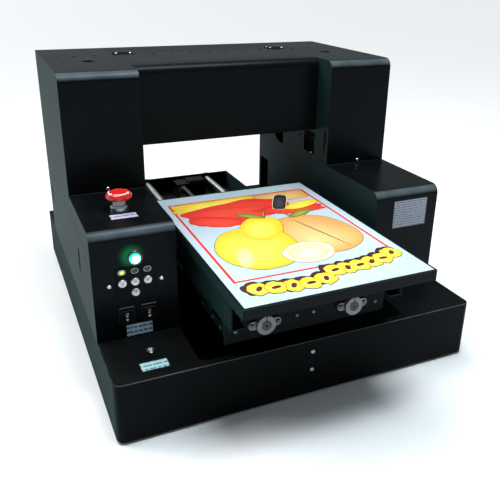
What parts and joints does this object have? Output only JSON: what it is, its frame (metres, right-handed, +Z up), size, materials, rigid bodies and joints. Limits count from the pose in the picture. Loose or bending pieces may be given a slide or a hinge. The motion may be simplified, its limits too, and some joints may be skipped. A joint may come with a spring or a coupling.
{
  "type": "flatbed uv printer",
  "caption": "Desktop flatbed printer: a lifting, sliding table under a fixed bridge with a print carriage, a control box with an emergency stop, and an ink box.",
  "frame": {"origin": "centre of the bounding box in plan, on the surface that the feet stand on", "axes": "+X to the machine's right seen from the operator's side, +Y from the operator's side to the back, +Z up"},
  "size_m": [0.62, 0.8106, 0.4855],
  "materials": {
    "housing_paint": "fine textured powder coat, semi-matte bluish black",
    "well_paint": "textured powder coat, matte black",
    "lid_paint": "fine textured powder coat, semi-matte bluish black",
    "floor_steel": "powder coated steel plate",
    "foot_rubber": "moulded black rubber",
    "hinge_chrome": "polished butt hinge with screws",
    "panel_black": "satin black keypad overlay",
    "bezel_metal": "plated button collar",
    "lens_glow": "lit status lens",
    "stem_grey": "moulded grey plastic",
    "stop_red": "glossy red mushroom head",
    "power_glow": "lit green button",
    "key_silver": "silver lacquered key",
    "switch_black": "glossy black switch frame",
    "rocker_black": "satin black rocker",
    "screw_steel": "zinc plated steel",
    "tray_paint": "black coated folded tray",
    "plate_aluminium": "milled aluminium plate",
    "board_white": "white board with a printed picture",
    "carrier_paint": "black coated folded sheet",
    "block_aluminium": "machined bearing block",
    "frame_paint": "black coated folded sheet",
    "shaft_chrome": "ground and hard chromed shaft",
    "support_aluminium": "cast and machined shaft flange",
    "belt_rubber": "toothed drive belt",
    "motor_steel": "motor with an aluminium bracket",
    "pulley_aluminium": "machined toothed pulley",
    "bar_paint": "black coated steel bar",
    "nut_brass": "machined brass nut",
    "motor_black": "black stepper motor body",
    "rail_aluminium": "extruded beam with a steel rail",
    "carriage_plastic": "moulded carriage",
    "head_steel": "steel nozzle plate and cartridges",
    "station_plastic": "moulded cap with a soft rim",
    "tank_plastic": "translucent moulded tank",
    "supply_steel": "perforated steel case",
    "board_green": "green circuit board",
    "fitting_plastic": "moulded black plastic",
    "fan_plastic": "moulded black fan"
  },
  "bodies": {
    "housing": {"base_shell": "housing_paint", "floor_plate": "floor_steel", "feet": "foot_rubber", "well_liner": "well_paint", "left_tower": "housing_paint", "right_tower": "housing_paint", "bridge_cover": "housing_paint", "lid_hinge_fixed": "hinge_chrome", "key_panel": "panel_black", "button_bezels": "bezel_metal", "status_lenses": "lens_glow", "switch_bezels": "switch_black", "housing_screws": "screw_steel", "lift_posts": "shaft_chrome", "drive_motors": "motor_black", "drive_belts": "belt_rubber", "carriage_rail": "rail_aluminium", "capping_station": "station_plastic", "ink_tanks": "tank_plastic", "power_supply": "supply_steel", "circuit_boards": "board_green", "rear_fittings": "fitting_plastic"},
    "lift_frame": {"shaft_frame": "frame_paint", "slide_shafts": "shaft_chrome", "shaft_supports": "support_aluminium", "table_belt": "belt_rubber", "table_motor": "motor_steel", "lift_bars": "bar_paint", "lift_nuts": "nut_brass"},
    "table": {"tray": "tray_paint", "table_plate": "plate_aluminium", "print_board": "board_white", "table_carrier": "carrier_paint", "bearing_blocks": "block_aluminium", "carrier_screws": "screw_steel"},
    "table_drive_pulley": {"table_motor_pulley": "pulley_aluminium"},
    "table_end_pulley": {"table_idler_pulley": "pulley_aluminium"},
    "screw_front_left": {"lift_screw_front_left": "screw_steel"},
    "screw_front_right": {"lift_screw_front_right": "screw_steel"},
    "screw_rear_left": {"lift_screw_rear_left": "screw_steel"},
    "screw_rear_right": {"lift_screw_rear_right": "screw_steel"},
    "carriage": {"carriage_frame": "carriage_plastic", "print_head": "head_steel"},
    "carriage_drive_pulley": {"carriage_motor_pulley": "pulley_aluminium"},
    "carriage_end_pulley": {"carriage_idler_pulley": "pulley_aluminium"},
    "lid": {"top_lid": "lid_paint", "lid_hinge_moving": "hinge_chrome"},
    "left_access": {"left_panel": "housing_paint"},
    "right_access": {"right_panel": "housing_paint"},
    "stop_stem": {"estop_stem": "stem_grey"},
    "stop_button": {"estop_head": "stop_red"},
    "start_button": {"power_button": "power_glow"},
    "key_1": {"key_left": "key_silver"},
    "key_2": {"key_middle": "key_silver"},
    "key_3": {"key_right": "key_silver"},
    "key_4": {"key_low": "key_silver"},
    "rocker_1": {"front_rocker_left": "rocker_black"},
    "rocker_2": {"front_rocker_right": "rocker_black"},
    "rocker_3": {"shelf_rocker": "rocker_black"},
    "fan": {"fan_rotor": "fan_plastic"}
  },
  "joints": [
    {"name": "frame_lift", "type": "slide", "parent": "housing", "child": "lift_frame", "axis": [0, 0, 1], "range_m": [0, 0.1]},
    {"name": "table_slide", "type": "slide", "parent": "lift_frame", "child": "table", "axis": [0, 1, 0], "range_m": [0, 0.515]},
    {"name": "carriage_slide", "type": "slide", "parent": "housing", "child": "carriage", "axis": [1, 0, 0], "range_m": [-0.47, 0]},
    {"name": "lift_screw_front_left_turn", "type": "hinge", "parent": "housing", "child": "screw_front_left", "pos_m": [-0.21, 0.01275, 0.154], "axis": [0, 0, 1], "range_deg": [-4600, 60]},
    {"name": "lift_screw_rear_left_turn", "type": "hinge", "parent": "housing", "child": "screw_rear_left", "pos_m": [-0.21, 0.26475, 0.154], "axis": [0, 0, 1], "range_deg": [-4600, 60]},
    {"name": "lift_screw_front_right_turn", "type": "hinge", "parent": "housing", "child": "screw_front_right", "pos_m": [0.21, 0.01275, 0.154], "axis": [0, 0, 1], "range_deg": [-4600, 60]},
    {"name": "lift_screw_rear_right_turn", "type": "hinge", "parent": "housing", "child": "screw_rear_right", "pos_m": [0.21, 0.26475, 0.154], "axis": [0, 0, 1], "range_deg": [-4600, 60]},
    {"name": "table_drive_pulley_turn", "type": "hinge", "parent": "lift_frame", "child": "table_drive_pulley", "pos_m": [-0.006, 0.34575, 0.139], "axis": [1, 0, 0], "range_deg": [-3000, 60]},
    {"name": "table_end_pulley_turn", "type": "hinge", "parent": "lift_frame", "child": "table_end_pulley", "pos_m": [-0.006, -0.27425, 0.139], "axis": [1, 0, 0], "range_deg": [-3000, 60]},
    {"name": "carriage_drive_pulley_turn", "type": "hinge", "parent": "housing", "child": "carriage_drive_pulley", "pos_m": [-0.265, 0.19375, 0.457], "axis": [0, 1, 0], "range_deg": [-60, 3500]},
    {"name": "carriage_end_pulley_turn", "type": "hinge", "parent": "housing", "child": "carriage_end_pulley", "pos_m": [0.268, 0.19375, 0.457], "axis": [0, 1, 0], "range_deg": [-60, 3500]},
    {"name": "lid_hinge", "type": "hinge", "parent": "housing", "child": "lid", "pos_m": [0, 0.19275, 0.4834], "axis": [-1, 0, 0], "range_deg": [0, 100]},
    {"name": "left_panel_pull", "type": "slide", "parent": "housing", "child": "left_access", "axis": [-1, 0, 0], "range_m": [0, 0.08]},
    {"name": "right_panel_pull", "type": "slide", "parent": "housing", "child": "right_access", "axis": [1, 0, 0], "range_m": [0, 0.08]},
    {"name": "stop_press", "type": "slide", "parent": "housing", "child": "stop_stem", "axis": [0, 0, -1], "range_m": [0, 0.004], "stiffness_N_per_m": 1500, "springref_m": -0.004},
    {"name": "stop_twist", "type": "hinge", "parent": "stop_stem", "child": "stop_button", "pos_m": [-0.245, -0.11725, 0.299], "axis": [0, 0, -1], "range_deg": [0, 35], "stiffness_Nm_per_rad": 0.02},
    {"name": "start_press", "type": "slide", "parent": "housing", "child": "start_button", "axis": [0, 1, 0], "range_m": [0, 0.003], "stiffness_N_per_m": 900, "springref_m": -0.001},
    {"name": "key_1_press", "type": "slide", "parent": "housing", "child": "key_1", "axis": [0, 1, 0], "range_m": [0, 0.0012], "stiffness_N_per_m": 600, "springref_m": -0.001},
    {"name": "key_2_press", "type": "slide", "parent": "housing", "child": "key_2", "axis": [0, 1, 0], "range_m": [0, 0.0012], "stiffness_N_per_m": 600, "springref_m": -0.001},
    {"name": "key_3_press", "type": "slide", "parent": "housing", "child": "key_3", "axis": [0, 1, 0], "range_m": [0, 0.0012], "stiffness_N_per_m": 600, "springref_m": -0.001},
    {"name": "key_4_press", "type": "slide", "parent": "housing", "child": "key_4", "axis": [0, 1, 0], "range_m": [0, 0.0012], "stiffness_N_per_m": 600, "springref_m": -0.001},
    {"name": "rocker_1_tilt", "type": "hinge", "parent": "housing", "child": "rocker_1", "pos_m": [-0.262, -0.20425, 0.141], "axis": [-1, 0, 0], "range_deg": [0, 16]},
    {"name": "rocker_2_tilt", "type": "hinge", "parent": "housing", "child": "rocker_2", "pos_m": [-0.2274, -0.20425, 0.141], "axis": [-1, 0, 0], "range_deg": [0, 16]},
    {"name": "rocker_3_tilt", "type": "hinge", "parent": "housing", "child": "rocker_3", "pos_m": [-0.2408, -0.25825, 0.102], "axis": [-1, 0, 0], "range_deg": [0, 16]},
    {"name": "fan_spin", "type": "hinge", "parent": "housing", "child": "fan", "pos_m": [0.245, 0.28375, 0.296], "axis": [0, 1, 0], "continuous": true}
  ],
  "couplings": [
    {"joint": "lift_screw_front_left_turn", "follows": "frame_lift", "rad_per_m": -785.4},
    {"joint": "lift_screw_rear_left_turn", "follows": "frame_lift", "rad_per_m": -785.4},
    {"joint": "lift_screw_front_right_turn", "follows": "frame_lift", "rad_per_m": -785.4},
    {"joint": "lift_screw_rear_right_turn", "follows": "frame_lift", "rad_per_m": -785.4},
    {"joint": "table_drive_pulley_turn", "follows": "table_slide", "rad_per_m": -100},
    {"joint": "table_end_pulley_turn", "follows": "table_slide", "rad_per_m": -100},
    {"joint": "carriage_drive_pulley_turn", "follows": "carriage_slide", "rad_per_m": -125},
    {"joint": "carriage_end_pulley_turn", "follows": "carriage_slide", "rad_per_m": -125}
  ]
}
